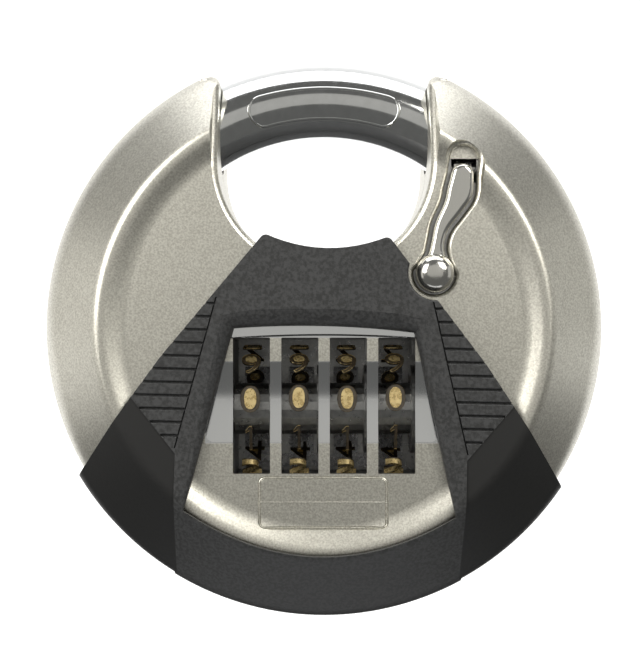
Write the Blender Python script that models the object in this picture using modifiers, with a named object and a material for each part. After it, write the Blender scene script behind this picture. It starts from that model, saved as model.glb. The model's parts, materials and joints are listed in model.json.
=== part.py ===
"""Round combination padlock: pressed casing, bumpers, four dials, turning shackle, release lever.

The lock is drawn lying on its back: X to the right, Y up the lock, Z towards the front, with the
shackle's turning axis at X = Y = 0 and the joint between the two shells at Z = 0. An empty then
stands it up, with its rear face in the plane Y = 0 of the world.
"""

import math

import bmesh
import bpy
from mathutils import Matrix

mm = 0.001

# Casing: two pressed shells
casing_radius = 35.0 * mm
face_height = 10.4 * mm  # flat face above the joint between the shells
slope_width = 8.0 * mm  # from the ridge out to the rim
ridge_width = 2.4 * mm
ridge_radius = casing_radius - slope_width
crease_radius = ridge_radius - ridge_width  # the face turns up here
ridge_rise = 0.8 * mm  # ridge above the face
ridge_half_width = 0.5 * mm
shoulder_drop = 0.35 * mm
rim_half_width = 3.2 * mm
rim_round = 1.1 * mm
wall = 1.0 * mm
seam = 0.15 * mm  # half the gap between the shells
casing_steps = 48

# Throat, the opening that the shackle crosses
throat_radius = 12.95 * mm
throat_centre = casing_radius - 14.7 * mm
horn_round = 1.6 * mm

# Shackle
bar_radius = 4.75 * mm
shackle_rim_gap = 0.55 * mm  # to the inside of the rim
shackle_radius = casing_radius - wall - shackle_rim_gap - bar_radius  # to the middle of the bar
shackle_end_angle = -41.0  # degrees clockwise from the top
shackle_tail_angle = 112.0
shackle_turn = 74.0
shackle_gap = 0.4 * mm
guide_start_angle = 39.5
guide_past_tail = 4.0  # the guide's end beyond the open shackle's tail
end_guide_angle = 22.0  # what the end guides hold beyond the shackle's nose

# Bumpers
bumper_thickness = 2.0 * mm  # over the face
bumper_rim_thickness = 1.0 * mm
bumper_face = face_height + bumper_thickness
bumper_rim = casing_radius + bumper_rim_thickness
bumper_top_half_width = 7.5 * mm
bumper_top = 11.15 * mm
bumper_top_sag = 1.6 * mm
bumper_shoulder = (19.5 * mm, -3.9 * mm)
bumper_side_slope = 1.435  # drop per width below the shoulder
bumper_turn = 1.4  # degrees clockwise that the bumpers sit turned on the casing
window_top_half_width = 10.95 * mm
window_top = -0.35 * mm
window_top_rise = 0.55 * mm
window_bottom_half_width = 16.35 * mm
window_bottom = -22.4 * mm
window_bottom_sag = 5.1 * mm

# Dials
dial_count = 4
dial_radius = 8.2 * mm
dial_width = 3.8 * mm
dial_gap = 0.97 * mm  # between a dial and its neighbour's sleeve, both sides together
flange_width = 1.1 * mm
dial_pitch = dial_width + flange_width + dial_gap
dial_shift = -0.15 * mm  # the dials sit this far left of the middle of their slots
dial_axis_up = -10.17 * mm
dial_proud = 0.3 * mm  # a dial stands this far out of the face
dial_axis_front = face_height + dial_proud - dial_radius
dial_faces = 10
dial_groove = 0.45 * mm
dial_groove_share = 0.2  # of a face's angle
index_angle = 12.0  # degrees above level at which a dial is read
slot_width = dial_width + 0.7 * mm
slot_top = dial_axis_up + 8.97 * mm
slot_bottom = dial_axis_up - 7.53 * mm

# Code sleeves and axle
axle_radius = 1.5 * mm
sleeve_bore = 1.85 * mm
sleeve_radius = 3.2 * mm
flange_radius = dial_radius - 2.6 * mm
gate_width = 1.7 * mm
gate_depth = 1.4 * mm

# Lock body and its cover
body_radius = shackle_radius - bar_radius - 0.75 * mm
body_front = face_height - wall - 1.6 * mm
body_back = -(face_height - wall - 1.7 * mm)
cover_thickness = 0.7 * mm
screw_radius = 0.8 * mm
screw_head_radius = 1.7 * mm
screw_length = 5.7 * mm
screw_slot_width = 0.5 * mm
screw_slot_depth = 0.4 * mm
# Each screw's angle clockwise from the top, and its distance from the body's edge
screw_places = ((-72.1, 3.66 * mm), (64.2, 2.54 * mm), (180.0, 2.2 * mm))

# Blocking bar, drive slide and bolt
bar_travel = 0.9 * mm
bar_bottom = dial_axis_up + dial_radius + bar_travel + 0.87 * mm
bar_height = 2.6 * mm
bar_depth = 2.8 * mm
bar_back = dial_axis_front - bar_depth / 2
bar_overhang = 1.5 * mm  # beyond the middle of its springs
finger_width = 0.8 * mm
slide_width = 1.5 * mm
slide_depth = 0.9 * mm
foot_lap = 2.0 * mm  # the slide's foot lies on the bar over this length
bolt_length = 4.4 * mm
bolt_nose = body_radius - 0.4 * mm
bolt_left = bolt_nose - bolt_length
bolt_up = 1.0 * mm
bolt_front = 3.0 * mm
bolt_size = (3.0 * mm, 4.0 * mm)  # up the lock, and through it
notch_depth = 1.3 * mm

# Springs
spring_wire = 0.25 * mm
spring_radius = 1.1 * mm
spring_turns = 4
bolt_spring_wire = 0.12 * mm
bolt_spring_turns = 3
lever_spring_wire = 0.125 * mm
lever_spring_turns = 2
bar_spring_length = 3.6 * mm
bolt_spring_length = 2.3 * mm
leaf_thickness = 0.35 * mm
leaf_width = 3.2 * mm
leaf_foot = 2.6 * mm  # flat end that the leaf is held by
leaf_root = 1.6 * mm  # its fingers part this far above the lower edge
leaf_tail = 5.0 * mm

# Release lever: centreline and width from the knob at its lower end to its top
lever_line = (
    (13.4 * mm, 6.6 * mm, 4.5 * mm),
    (13.6 * mm, 8.6 * mm, 2.2 * mm),
    (13.75 * mm, 10.3 * mm, 1.5 * mm),
    (14.3 * mm, 12.35 * mm, 1.8 * mm),
    (15.6 * mm, 14.6 * mm, 2.4 * mm),
    (16.4 * mm, 16.4 * mm, 3.2 * mm),
    (16.75 * mm, 18.5 * mm, 2.7 * mm),
)
lever_bottom = face_height - 1.1 * mm
lever_top = face_height + 0.9 * mm
knob_radius = 2.3 * mm
knob_height = face_height + 0.1 * mm
lever_slot_gap = 0.7 * mm
lever_headroom = 1.7 * mm
neck_down = 0.9 * mm
neck_up = 0.6 * mm
lever_notch = 3.3 * mm
pin_up = 19.3 * mm
pin_front = face_height - 2.4 * mm
pin_radius = 0.6 * mm
hub_radius = 1.1 * mm
hub_left = 15.8 * mm
hub_right = 17.0 * mm
toe_reach = 2.2 * mm
toe_half_thickness = 0.5 * mm
bracket_front = lever_bottom - 0.4 * mm
bracket_thickness = 0.8 * mm
bracket_margin = 1.5 * mm
ear_left = 14.9 * mm
ear_right = 19.2 * mm
ear_thickness = 0.6 * mm

fit = 0.3 * mm  # gap between pieces that touch
play = 0.5 * mm  # gap round a piece that moves
past = 1.0 * mm  # how far a cutter runs past what it cuts
weld = 1e-6

# The slide stands under the lever's toe, and the bar reaches past the last dial's sleeve to its springs.
slide_left = hub_left + fit / 2
slide_right = slide_left + slide_width
slide_back = pin_front - toe_reach - fit / 3
dials_right = (dial_count - 1) / 2 * dial_pitch + dial_shift + dial_width / 2 + fit + flange_width
bar_spring_place = dials_right + spring_radius + spring_wire + fit / 3
bar_half_length = bar_spring_place + bar_overhang
foot_left = bar_half_length - foot_lap


def clear_scene():
    for obj in list(bpy.data.objects):
        bpy.data.objects.remove(obj)


def new_collection(name):
    collection = bpy.data.collections.new(name)
    bpy.context.scene.collection.children.link(collection)
    return collection


def finish(name, colour, metallic, roughness):
    material = bpy.data.materials.new(name)
    material.use_nodes = True
    shader = material.node_tree.nodes["Principled BSDF"]
    shader.inputs["Base Color"].default_value = (*colour, 1.0)
    shader.inputs["Metallic"].default_value = metallic
    shader.inputs["Roughness"].default_value = roughness
    return material


clear_scene()
parts = new_collection("combination_padlock")
cutters = new_collection("cutters")

stand = bpy.data.objects.new("lock_stand", None)
parts.objects.link(stand)
stand.location = (0.0, -bumper_face, 0.0)
stand.rotation_euler = (math.radians(90.0), 0.0, 0.0)


# Making meshes


def mesh_from(obj):
    """Mesh of an object with its modifiers applied. The object is then removed."""
    bpy.context.view_layer.update()
    graph = bpy.context.evaluated_depsgraph_get()
    mesh = bpy.data.meshes.new_from_object(obj.evaluated_get(graph))
    bpy.data.objects.remove(obj)
    return mesh


def tidy(mesh):
    """Welds the mesh, turns its faces outwards and shades it smooth between its edges."""
    shape = bmesh.new()
    shape.from_mesh(mesh)
    bmesh.ops.remove_doubles(shape, verts=shape.verts, dist=weld)
    bmesh.ops.recalc_face_normals(shape, faces=shape.faces)
    shape.to_mesh(mesh)
    shape.free()
    mesh.shade_smooth()
    mesh.set_sharp_from_angle(angle=math.radians(35.0))
    return mesh


def plate(outline, low, high):
    """Closed outline of (x, y) points, filled and thickened from low to high."""
    curve = bpy.data.curves.new("outline", "CURVE")
    curve.dimensions = "2D"
    curve.fill_mode = "BOTH"
    curve.extrude = (high - low) / 2
    spline = curve.splines.new("POLY")
    spline.points.add(len(outline) - 1)
    for point, (x, y) in zip(spline.points, outline):
        point.co = (x, y, 0.0, 1.0)
    spline.use_cyclic_u = True
    drawn = bpy.data.objects.new("outline", curve)
    parts.objects.link(drawn)
    mesh = mesh_from(drawn)
    mesh.transform(Matrix.Translation((0.0, 0.0, (low + high) / 2)))
    return tidy(mesh)


def turned(profile, steps, closed=False):
    """Profile of (radius, height) points turned about Z."""
    mesh = bpy.data.meshes.new("profile")
    edges = [(i, i + 1) for i in range(len(profile) - 1)]
    if closed:
        edges.append((len(profile) - 1, 0))
    mesh.from_pydata([(r, 0.0, h) for r, h in profile], edges, [])
    drawn = bpy.data.objects.new("profile", mesh)
    parts.objects.link(drawn)
    screw = drawn.modifiers.new("turn", "SCREW")
    screw.steps = steps
    screw.render_steps = steps
    screw.use_merge_vertices = True
    screw.merge_threshold = weld
    return tidy(mesh_from(drawn))


def wire(points, radius, resolution=1):
    """Round wire through the points."""
    curve = bpy.data.curves.new("wire", "CURVE")
    curve.dimensions = "3D"
    curve.bevel_depth = radius
    curve.bevel_resolution = resolution
    curve.use_fill_caps = True
    spline = curve.splines.new("POLY")
    spline.points.add(len(points) - 1)
    for point, place in zip(spline.points, points):
        point.co = (*place, 1.0)
    drawn = bpy.data.objects.new("wire", curve)
    parts.objects.link(drawn)
    return tidy(mesh_from(drawn))


def box(low, high):
    """Box between two corners."""
    mesh = bpy.data.meshes.new("box")
    shape = bmesh.new()
    size = [b - a for a, b in zip(low, high)]
    middle = [(a + b) / 2 for a, b in zip(low, high)]
    bmesh.ops.create_cube(shape, size=1.0)
    bmesh.ops.scale(shape, vec=size, verts=shape.verts)
    bmesh.ops.translate(shape, vec=middle, verts=shape.verts)
    shape.to_mesh(mesh)
    shape.free()
    return mesh


def rod(radius, low, high, along="Z", at=(0.0, 0.0), segments=24, top_radius=None):
    """Round bar along an axis from low to high, at the given place across it."""
    mesh = bpy.data.meshes.new("rod")
    shape = bmesh.new()
    bmesh.ops.create_cone(
        shape,
        cap_ends=True,
        segments=segments,
        radius1=radius,
        radius2=radius if top_radius is None else top_radius,
        depth=high - low,
    )
    bmesh.ops.translate(shape, vec=(0.0, 0.0, (low + high) / 2), verts=shape.verts)
    if along == "X":
        turn = Matrix(((0, 0, 1), (1, 0, 0), (0, 1, 0)))
        bmesh.ops.transform(shape, matrix=turn.to_4x4(), verts=shape.verts)
        bmesh.ops.translate(shape, vec=(0.0, *at), verts=shape.verts)
    else:
        bmesh.ops.translate(shape, vec=(*at, 0.0), verts=shape.verts)
    shape.to_mesh(mesh)
    shape.free()
    mesh.shade_smooth()
    mesh.set_sharp_from_angle(angle=math.radians(35.0))
    return mesh


def piece(name, mesh, material, at=(0.0, 0.0, 0.0)):
    """A named piece of the lock, its origin at the given place and its mesh drawn about there."""
    obj = bpy.data.objects.new(name, mesh)
    mesh.name = name
    parts.objects.link(obj)
    obj.parent = stand
    obj.location = at
    mesh.materials.clear()
    mesh.materials.append(material)
    return obj


def cutter(name, mesh):
    obj = bpy.data.objects.new(name, mesh)
    cutters.objects.link(obj)
    obj.parent = stand
    obj.hide_render = True
    obj.display_type = "WIRE"
    return obj


def combine(obj, other, operation="DIFFERENCE"):
    boolean = obj.modifiers.new(f"{operation.lower()} {other.name}", "BOOLEAN")
    boolean.operation = operation
    boolean.object = other
    boolean.solver = "EXACT"
    return obj


def drop_to(mesh, at):
    """Moves a mesh drawn in the lock's own place so that the given point is its origin."""
    mesh.transform(Matrix.Translation([-a for a in at]))
    return mesh


# Outlines


def arc(centre, radius, start, end, steps):
    """Points on an arc, from the start angle to the end angle in degrees."""
    points = []
    for i in range(steps + 1):
        angle = math.radians(start + (end - start) * i / steps)
        points.append((centre[0] + radius * math.cos(angle), centre[1] + radius * math.sin(angle)))
    return points


def bow(start, end, sag, steps):
    """Points on an arc between two level points, sagging down by sag, or rising if it is negative."""
    half = abs(end[0] - start[0]) / 2
    radius = (half**2 + sag**2) / (2 * abs(sag))
    middle_x = (start[0] + end[0]) / 2
    centre_y = start[1] + math.copysign(radius, sag) - sag
    points = []
    for i in range(steps + 1):
        x = start[0] + (end[0] - start[0]) * i / steps
        y = centre_y - math.copysign(math.sqrt(radius**2 - (x - middle_x) ** 2), sag)
        points.append((x, y))
    return points


def turned_point(point, degrees):
    """The point turned clockwise about the lock's centre."""
    angle = -math.radians(degrees)
    x, y = point
    return (x * math.cos(angle) - y * math.sin(angle), x * math.sin(angle) + y * math.cos(angle))


def throat_outline(extra):
    """The throat, wider all round by extra, with the horns' tips rounded."""
    half = throat_radius + extra
    tip_x = throat_radius + horn_round
    tip_y = math.sqrt((casing_radius - horn_round) ** 2 - tip_x**2)
    tip_angle = math.degrees(math.atan2(tip_y, tip_x))
    far = casing_radius + 5 * past
    right = arc((0.0, throat_centre), half, 270.0, 360.0, 9)
    right += arc((tip_x, tip_y), horn_round - extra, 180.0, tip_angle, 4)
    right.append((far * math.cos(math.radians(tip_angle)), far * math.sin(math.radians(tip_angle))))
    left = [(-x, y) for x, y in reversed(right[1:])]
    return left + right


def casing_profile(offset):
    """Outer surface of a shell as (radius, height), from the middle of the face to the rim."""
    ridge_height = face_height + ridge_rise
    slope_end = casing_radius - rim_round
    points = [
        (0.0, face_height),
        (crease_radius, face_height),
        (crease_radius + (ridge_radius - crease_radius) / 2, face_height + ridge_rise / 2),
        (ridge_radius - ridge_half_width, ridge_height - ridge_rise / 10),
        (ridge_radius + ridge_half_width, ridge_height),
        (ridge_radius + 2.5 * ridge_half_width, ridge_height - shoulder_drop),
        (slope_end, rim_half_width + 2 * rim_round),
        (casing_radius - rim_round / 4, rim_half_width + rim_round),
        (casing_radius, rim_half_width),
        (casing_radius, 0.0),
    ]
    moved = []
    for i, (r, h) in enumerate(points):
        before = points[max(i - 1, 0)]
        after = points[min(i + 1, len(points) - 1)]
        normals = []
        for a, b in ((before, (r, h)), ((r, h), after)):
            length = math.hypot(b[0] - a[0], b[1] - a[1])
            if length > 0.0:
                normals.append(((a[1] - b[1]) / length, (b[0] - a[0]) / length))
        n = [sum(axis) / len(normals) for axis in zip(*normals)]
        square = n[0] ** 2 + n[1] ** 2
        moved.append((r + offset * n[0] / square, h + offset * n[1] / square))
    moved[0] = (0.0, moved[0][1])
    return moved


def lever_outline(extra, headroom=0.0):
    """Outline round the lever's centreline, wider by extra on each side, with round ends."""
    line = smooth_line(lever_line, 3)
    sides = []
    for i, (x, y, width) in enumerate(line):
        before = line[max(i - 1, 0)]
        after = line[min(i + 1, len(line) - 1)]
        along = math.atan2(after[1] - before[1], after[0] - before[0])
        sides.append((x, y, width / 2 + extra, along))
    left = [(x - r * math.sin(a), y + r * math.cos(a)) for x, y, r, a in sides]
    right = [(x + r * math.sin(a), y - r * math.cos(a)) for x, y, r, a in sides]
    x, y, r, a = sides[-1]
    turn = math.degrees(a)
    end = arc((x + headroom * math.cos(a), y + headroom * math.sin(a)), r, turn - 90, turn + 90, 6)
    x, y, r, a = sides[0]
    turn = math.degrees(a)
    start = arc((x, y), r, turn + 90, turn + 270, 8)
    return right[1:] + end + left[::-1][:-1] + start


def smooth_line(line, steps):
    """More points between the given ones, on a smooth curve through them."""
    points = []
    for i in range(len(line) - 1):
        a = line[max(i - 1, 0)]
        b, c = line[i], line[i + 1]
        d = line[min(i + 2, len(line) - 1)]
        for k in range(steps):
            t = k / steps
            point = []
            for p0, p1, p2, p3 in zip(a, b, c, d):
                slope, bend = p2 - p0, 2 * p0 - 5 * p1 + 4 * p2 - p3
                twist = 3 * p1 - p0 - 3 * p2 + p3
                point.append(p1 + (slope * t + bend * t**2 + twist * t**3) / 2)
            points.append(tuple(point))
    points.append(line[-1])
    return points


def strip_outline(line, thickness):
    """Outline of a strip of even thickness along a line of (x, y) points."""
    near, far = [], []
    for i, (x, y) in enumerate(line):
        before = line[max(i - 1, 0)]
        after = line[min(i + 1, len(line) - 1)]
        along = math.atan2(after[1] - before[1], after[0] - before[0])
        shift_x = -math.sin(along) * thickness / 2
        shift_y = math.cos(along) * thickness / 2
        near.append((x + shift_x, y + shift_y))
        far.append((x - shift_x, y - shift_y))
    return near + far[::-1]


def ring_point(angle, radius=shackle_radius, height=0.0):
    """Point on the shackle's ring, at an angle in degrees clockwise from the top."""
    return (radius * math.sin(math.radians(angle)), radius * math.cos(math.radians(angle)), height)


def dial_middle(index):
    """Middle of a dial's slot across the lock."""
    return (index - (dial_count - 1) / 2) * dial_pitch


def finger_middle(index):
    """Middle of the flange of a code sleeve, where the bar's finger comes down."""
    return dial_middle(index) + dial_shift + dial_width / 2 + fit + flange_width / 2


# Finishes

steel = finish("blasted_steel", (0.62, 0.61, 0.57), 1.0, 0.38)
plastic = finish("bumper_plastic", (0.03, 0.03, 0.033), 0.0, 0.5)
chrome = finish("shackle_chrome", (0.75, 0.75, 0.76), 1.0, 0.08)
brass = finish("dial_brass", (0.66, 0.5, 0.24), 1.0, 0.3)
nickel = finish("lever_nickel", (0.7, 0.68, 0.64), 1.0, 0.15)
zinc = finish("body_zinc", (0.5, 0.5, 0.5), 1.0, 0.5)
plain_steel = finish("plain_steel", (0.5, 0.5, 0.5), 1.0, 0.3)
spring_steel = finish("spring_steel", (0.35, 0.35, 0.36), 1.0, 0.3)
nylon = finish("guide_nylon", (0.55, 0.53, 0.48), 0.0, 0.5)


# Casing


def half_disc(profile, side):
    """Solid under a profile, on the front side for 1 or the rear side for -1."""
    return turned([(r, side * h) for r, h in profile], casing_steps)


def casing_shell(name, side):
    outer = casing_profile(0.0)
    outer[-1] = (outer[-1][0], seam)
    shell = piece(name, half_disc(outer + [(0.0, seam)], side), steel)
    inner = casing_profile(-wall)
    inner[-1] = (inner[-1][0], -past)
    cavity = cutter(f"{name}_cavity", half_disc(inner + [(0.0, -past)], side))
    combine(cavity, throat_wall)
    combine(shell, cavity)
    combine(shell, throat_opening)
    combine(shell, shackle_holes)
    return shell


through = face_height + ridge_rise + past
throat_opening = cutter("throat_opening", plate(throat_outline(0.0), -2 * through, 2 * through))
throat_wall = cutter("throat_wall", plate(throat_outline(wall), -2 * through, 2 * through))
hole_path = [ring_point(angle) for angle in range(-50, 51, 5)]
shackle_holes = cutter("shackle_holes", wire(hole_path, bar_radius + shackle_gap, 6))

front_shell = casing_shell("front_shell", 1)
rear_shell = casing_shell("rear_shell", -1)

for index in range(dial_count):
    middle = dial_middle(index)
    low = (middle - slot_width / 2, slot_bottom, face_height - 2 * wall)
    high = (middle + slot_width / 2, slot_top, through)
    combine(front_shell, cutter(f"dial_slot_{index + 1}", box(low, high)))

lever_opening = cutter(
    "lever_opening",
    plate(lever_outline(lever_slot_gap, lever_headroom), face_height - 2.5 * wall, through),
)
combine(front_shell, lever_opening)


# Bumpers


def bumper_outline():
    """One closed outline that runs past the rim, so that the rim cuts its lower edge."""
    reach = bumper_rim + 5 * past
    shoulder_x, shoulder_y = bumper_shoulder
    foot = (reach, shoulder_y - bumper_side_slope * (reach - shoulder_x))
    right = [(bumper_top_half_width, bumper_top), bumper_shoulder, foot, (foot[0], -2 * reach)]
    left = [(-x, y) for x, y in reversed(right)]
    top = bow(left[-1], right[0], bumper_top_sag, 6)
    outline = top + right[1:] + left[:-1]
    return [turned_point(point, bumper_turn) for point in outline]


def bumper_skin():
    """Outer surface of a bumper, over the casing's own."""
    return [
        (0.0, bumper_face),
        (ridge_radius, bumper_face),
        (ridge_radius + 2.5 * ridge_half_width, bumper_face - shoulder_drop),
        (casing_radius + rim_round / 4, rim_half_width + 2.6 * rim_round),
        (bumper_rim, rim_half_width + rim_round),
        (bumper_rim, seam),
        (0.0, seam),
    ]


def bumper(name, side):
    cover = piece(name, half_disc(bumper_skin(), side), plastic)
    bed_profile = casing_profile(fit)
    bed_profile[-1] = (bed_profile[-1][0], -past)
    bed = cutter(f"{name}_bed", half_disc(bed_profile + [(0.0, -past)], side))
    combine(bed, throat_floor)
    combine(cover, bumper_block, "INTERSECT")
    combine(cover, bed)
    return cover


def window_outline():
    top_left = (-window_top_half_width, window_top)
    top_right = (window_top_half_width, window_top)
    bottom_left = (-window_bottom_half_width, window_bottom)
    bottom_right = (window_bottom_half_width, window_bottom)
    outline = bow(top_left, top_right, -window_top_rise, 6)
    outline += bow(bottom_right, bottom_left, window_bottom_sag, 8)
    return [turned_point(point, bumper_turn) for point in outline]


deep = bumper_face + past
throat_floor = cutter("throat_floor", plate(throat_outline(-fit), -2 * deep, 2 * deep))
bumper_block = cutter("bumper_block", plate(bumper_outline(), -deep, deep))
front_bumper = bumper("front_bumper", 1)
rear_bumper = bumper("rear_bumper", -1)
combine(front_bumper, cutter("window", plate(window_outline(), seam, deep)))
knob_x, knob_y, _ = lever_line[0]
notch = rod(lever_notch, face_height - past, deep, at=(knob_x, knob_y))
combine(front_bumper, cutter("lever_notch", notch))


# Shackle


def shackle():
    steps = 30
    sweep = shackle_tail_angle - shackle_end_angle
    path = [ring_point(shackle_end_angle + sweep * i / steps) for i in range(steps + 1)]
    bar = piece("shackle", wire(path, bar_radius, 6), chrome)
    bolt_angle = 90.0 - math.degrees(math.asin(bolt_up / shackle_radius))
    middle = ring_point(bolt_angle, shackle_radius - bar_radius)
    half_up = bolt_size[0] / 2 + play
    low = (middle[0] - 3 * past, middle[1] - half_up, bolt_front - bolt_size[1] - play)
    high = (middle[0] + notch_depth, middle[1] + half_up, bolt_front + play)
    combine(bar, cutter("bolt_notch", box(low, high)))


shackle()


# Guides that the shackle turns in


def guide(name, side, start, end, openings=()):
    """Part of a ring beside the shackle's path, between two angles clockwise from the top."""
    channel = bar_radius + shackle_gap
    inner_radius = body_radius + fit
    section = [
        (shackle_radius + channel * math.cos(angle), channel * math.sin(angle))
        for angle in (math.radians(155.0 - 130.0 * i / 6) for i in range(7))
    ]
    lip = section[0][1]
    cavity = casing_profile(-wall - fit)
    rim_radius = cavity[-1][0]
    slope_end = cavity[6]
    front = body_front if side > 0 else -body_back
    slope = (cavity[5][1] - slope_end[1]) / (slope_end[0] - cavity[5][0])
    shoulder = slope_end[0] - (front - slope_end[1]) / slope
    section += [(rim_radius, lip), (rim_radius, rim_half_width), slope_end]
    section += [(shoulder, front), (inner_radius, front), (inner_radius, lip)]
    ring = [(r, side * h) for r, h in section]
    made = piece(name, turned(ring, 32, closed=True), nylon)
    wedge = [(0.0, 0.0)]
    wedge_steps = 6
    for i in range(wedge_steps + 1):
        angle = end + (360.0 + start - end) * i / wedge_steps
        wedge.append(ring_point(angle, 2 * casing_radius)[:2])
    combine(made, cutter(f"{name}_ends", plate(wedge, -deep, deep)))
    for opening in openings:
        combine(made, opening)
    return made


lever_well = cutter(
    "lever_well",
    box(
        (ear_left - play, 0.0, slide_back - play),
        (ear_right + play, pin_up + 2 * hub_radius, deep),
    ),
)
guide_end_angle = shackle_tail_angle + shackle_turn + guide_past_tail
guide("shackle_guide_front", 1, guide_start_angle, guide_end_angle, (lever_well,))
guide("shackle_guide_rear", -1, guide_start_angle, guide_end_angle)
guide("end_guide_front", 1, shackle_end_angle - end_guide_angle, -guide_start_angle)
guide("end_guide_rear", -1, shackle_end_angle - end_guide_angle, -guide_start_angle)


# Lock body


def screw_points():
    return [ring_point(angle, body_radius - inset)[:2] for angle, inset in screw_places]


def lock_body():
    block = piece("lock_body", rod(body_radius, body_back, body_front, segments=40), zinc)
    bore = axle_radius + fit
    left = dial_middle(0) + dial_shift - dial_width / 2 - play
    right = finger_middle(dial_count - 1) + flange_width / 2 + play
    dial_room = dial_radius + play
    floor = bar_bottom - bar_travel - play
    ceiling = bar_bottom + bar_height + play
    spring_room = spring_radius + spring_wire + play
    spring_floor = bar_bottom - bar_spring_length - 2 * fit - play
    bolt_half = bolt_size[0] / 2 + fit
    pockets = {
        "dial_pocket": box(
            (left, dial_axis_up - dial_room, -deep),
            (right, dial_axis_up + dial_room, deep),
        ),
        "bar_pocket": box(
            (-bar_half_length - play, floor, bar_back - play),
            (bar_half_length + play, ceiling, deep),
        ),
        "slide_pocket": box(
            (slide_left - play, floor, slide_back - play),
            (slide_right + play, body_radius, deep),
        ),
        "foot_pocket": box(
            (foot_left - play, floor, bar_back + bar_depth - play),
            (slide_right + play, ceiling, deep),
        ),
        "bolt_pocket": box(
            (bolt_left - bolt_spring_length - play, bolt_up - bolt_half, -deep),
            (body_radius + past, bolt_up + bolt_half, bolt_front + fit),
        ),
        "axle_seat": rod(bore, left - 4 * past, right + 4 * past, "X", (dial_axis_up, dial_axis_front)),
        "axle_slot": box(
            (left - 4 * past, dial_axis_up - bore, -deep),
            (right + 4 * past, dial_axis_up + bore, dial_axis_front),
        ),
    }
    for side in (-1, 1):
        place = side * bar_spring_place
        pockets[f"bar_spring_pocket_{side}"] = box(
            (place - spring_room, spring_floor, bar_back + bar_depth / 2 - spring_room),
            (place + spring_room, floor + past, deep),
        )
    combine(block, cutter("body_throat", plate(throat_outline(wall + fit), -deep, deep)))
    for name, mesh in pockets.items():
        combine(block, cutter(name, mesh))
    combine(block, lever_well)
    for index, place in enumerate(screw_points()):
        shank = rod(screw_radius + fit, body_back - screw_length, body_back + past, at=place)
        shank.transform(Matrix.Translation((0.0, 0.0, screw_length - fit)))
        combine(block, cutter(f"screw_hole_{index + 1}", shank))


def body_cover():
    top = body_back - fit
    bottom = top - cover_thickness
    cover = piece("cover_plate", rod(body_radius, bottom, top, segments=40), plain_steel)
    combine(cover, cutter("cover_throat", plate(throat_outline(wall + fit), -deep, deep)))
    head_gap = screw_head_radius + fit
    for index, place in enumerate(screw_points()):
        sink = rod(
            head_gap + 0.1 * fit,
            bottom - 0.1 * fit,
            top + 0.1 * fit,
            at=place,
            top_radius=screw_radius + fit,
        )
        combine(cover, cutter(f"screw_sink_{index + 1}", sink))
        profile = [
            (0.0, top + screw_length),
            (screw_radius, top + screw_length),
            (screw_radius, top),
            (screw_head_radius, bottom),
            (0.0, bottom),
        ]
        screw = piece(f"cover_screw_{index + 1}", turned(profile, 16), plain_steel, (*place, 0.0))
        reach = screw_head_radius + past
        slot_low = (place[0] - reach, place[1] - screw_slot_width / 2, bottom - past)
        slot_high = (place[0] + reach, place[1] + screw_slot_width / 2, bottom + screw_slot_depth)
        combine(screw, cutter(f"screw_slot_{index + 1}", box(slot_low, slot_high)))


lock_body()
body_cover()


# Dials, sleeves and axle


def dial_wheel_outline():
    """Ten flat faces with a groove between each pair. The first face is read at the index."""
    face = 360.0 / dial_faces
    flat = face / 2 * (1.0 - dial_groove_share)
    points = []
    for i in range(dial_faces):
        middle = 180.0 - index_angle + face * i
        for angle, radius in (
            (-flat, dial_radius),
            (flat, dial_radius),
            (face / 2 - face * dial_groove_share / 4, dial_radius - dial_groove),
            (face / 2 + face * dial_groove_share / 4, dial_radius - dial_groove),
        ):
            turn = math.radians(middle + angle)
            points.append((radius * math.cos(turn), radius * math.sin(turn)))
    return points


def across(mesh):
    """Stands a mesh drawn along Z so that it lies along X, its own X towards the rear."""
    mesh.transform(Matrix(((0, 0, 1, 0), (0, 1, 0, 0), (-1, 0, 0, 0), (0, 0, 0, 1))))
    return mesh


for index in range(dial_count):
    centre = (dial_middle(index) + dial_shift, dial_axis_up, dial_axis_front)
    wheel = piece(
        f"dial_wheel_{index + 1}",
        across(plate(dial_wheel_outline(), -dial_width / 2, dial_width / 2)),
        brass,
        centre,
    )
    bore = rod(sleeve_radius + fit, -deep, deep, "X", segments=20)
    wheel_bore = cutter(f"wheel_bore_{index + 1}", bore)
    wheel_bore.location = centre
    combine(wheel, wheel_bore)

    start = -dial_width / 2 - fit
    flange_start = dial_width / 2 + fit
    flange_end = flange_start + flange_width
    profile = [
        (sleeve_radius, start),
        (sleeve_radius, flange_start),
        (flange_radius, flange_start),
        (flange_radius, flange_end),
        (sleeve_bore, flange_end),
        (sleeve_bore, start),
    ]
    sleeve = piece(
        f"code_sleeve_{index + 1}",
        across(turned(profile, 20, closed=True)),
        plain_steel,
        centre,
    )
    gate = cutter(
        f"gate_{index + 1}",
        box(
            (flange_start - past / 4, flange_radius - gate_depth, -gate_width / 2),
            (flange_end + past, flange_radius + past, gate_width / 2),
        ),
    )
    gate.location = centre
    combine(sleeve, gate)

axle_reach = dial_middle(dial_count - 1) + dial_width + flange_width
piece(
    "dial_axle",
    rod(axle_radius, -axle_reach, axle_reach, "X", (dial_axis_up, dial_axis_front), 16),
    plain_steel,
)


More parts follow.
